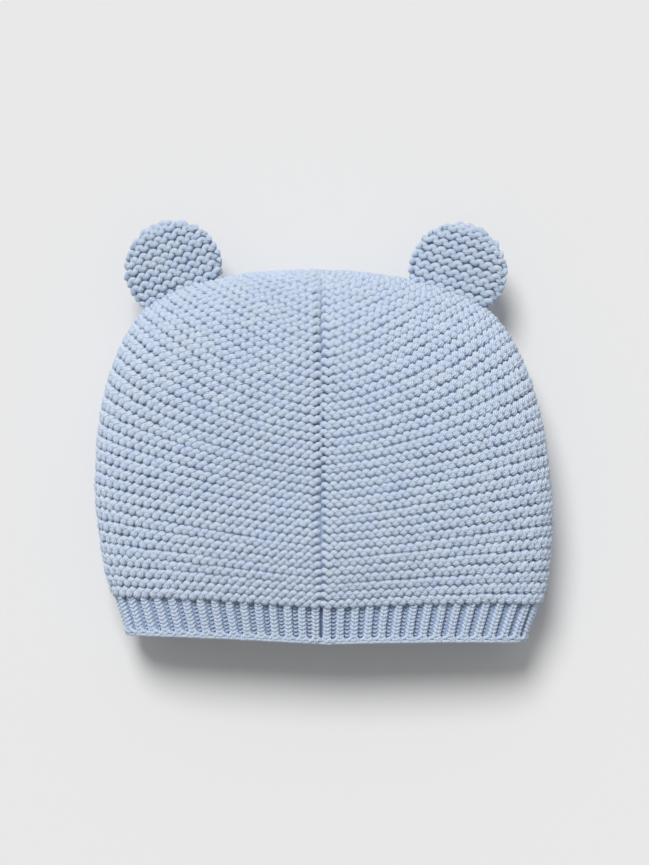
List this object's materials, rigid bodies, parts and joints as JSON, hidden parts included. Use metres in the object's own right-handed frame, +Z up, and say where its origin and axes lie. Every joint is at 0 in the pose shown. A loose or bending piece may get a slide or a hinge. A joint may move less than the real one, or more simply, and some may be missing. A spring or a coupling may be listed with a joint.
{
  "type": "knitted baby hat with ears",
  "caption": "Knitted baby hat lying flat, back seam up: hollow garter-stitch crown, ribbed band round the opening, round padded ears at the upper corners.",
  "frame": {"origin": "on the surface that the hat lies on, below the middle of the whole hat", "axes": "+X across the hat to the right as seen from its back, +Y from the hem to the ears, +Z up from the surface"},
  "size_m": [0.1902, 0.1764, 0.05],
  "materials": {
    "garter_knit": "pale blue cotton yarn, garter stitch",
    "rib_knit": "pale blue cotton yarn, one-and-one rib",
    "ear_knit": "pale blue cotton yarn, garter stitch, coarser"
  },
  "bodies": {
    "root": {"crown": "garter_knit", "rib_band": "rib_knit", "ear_left": "ear_knit", "ear_right": "ear_knit"}
  },
  "joints": []
}
